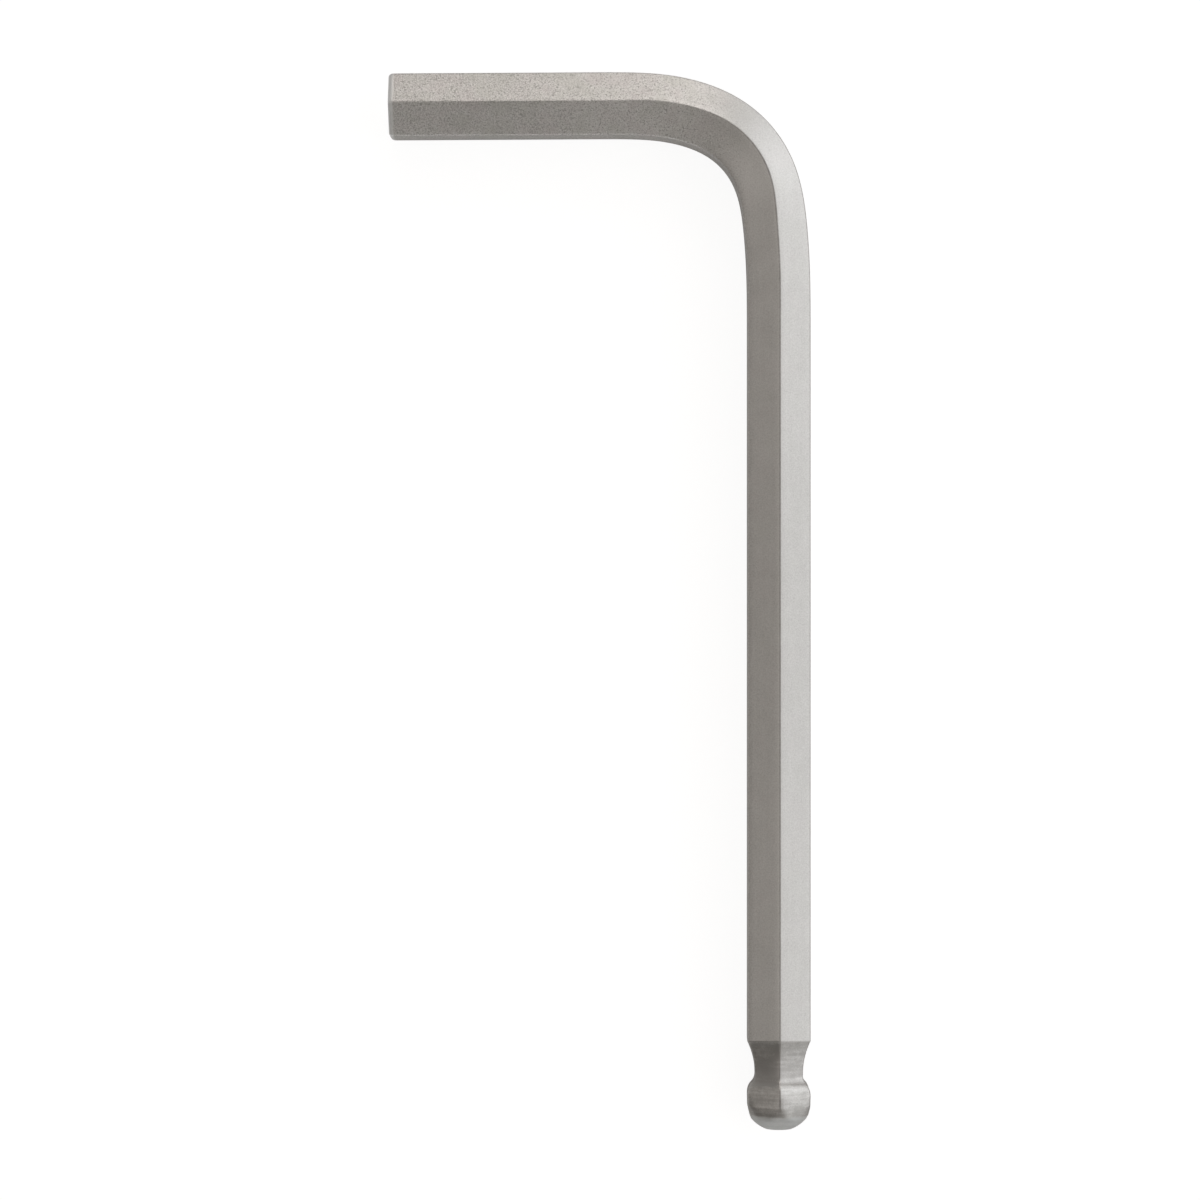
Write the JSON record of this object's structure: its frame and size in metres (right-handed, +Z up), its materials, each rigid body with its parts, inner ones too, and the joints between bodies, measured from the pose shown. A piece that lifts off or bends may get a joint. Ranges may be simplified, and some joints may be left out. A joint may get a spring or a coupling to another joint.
{
  "type": "hex key",
  "caption": "L-shaped hexagonal steel key with a plain end on the short arm and a ball end on the long arm.",
  "frame": {"origin": "under the middle of the bounding box, on the surface that the key lies on", "axes": "+Z up through the flat-lying key, +Y along the long arm from the ball towards the bend, -X from the bend towards the short arm's end"},
  "size_m": [0.0336, 0.0844, 0.0057],
  "materials": {
    "steel": "satin nickel plating, faintly pitted on the short arm and the bend"
  },
  "bodies": {
    "root": {"hex_key": "steel"}
  },
  "joints": []
}
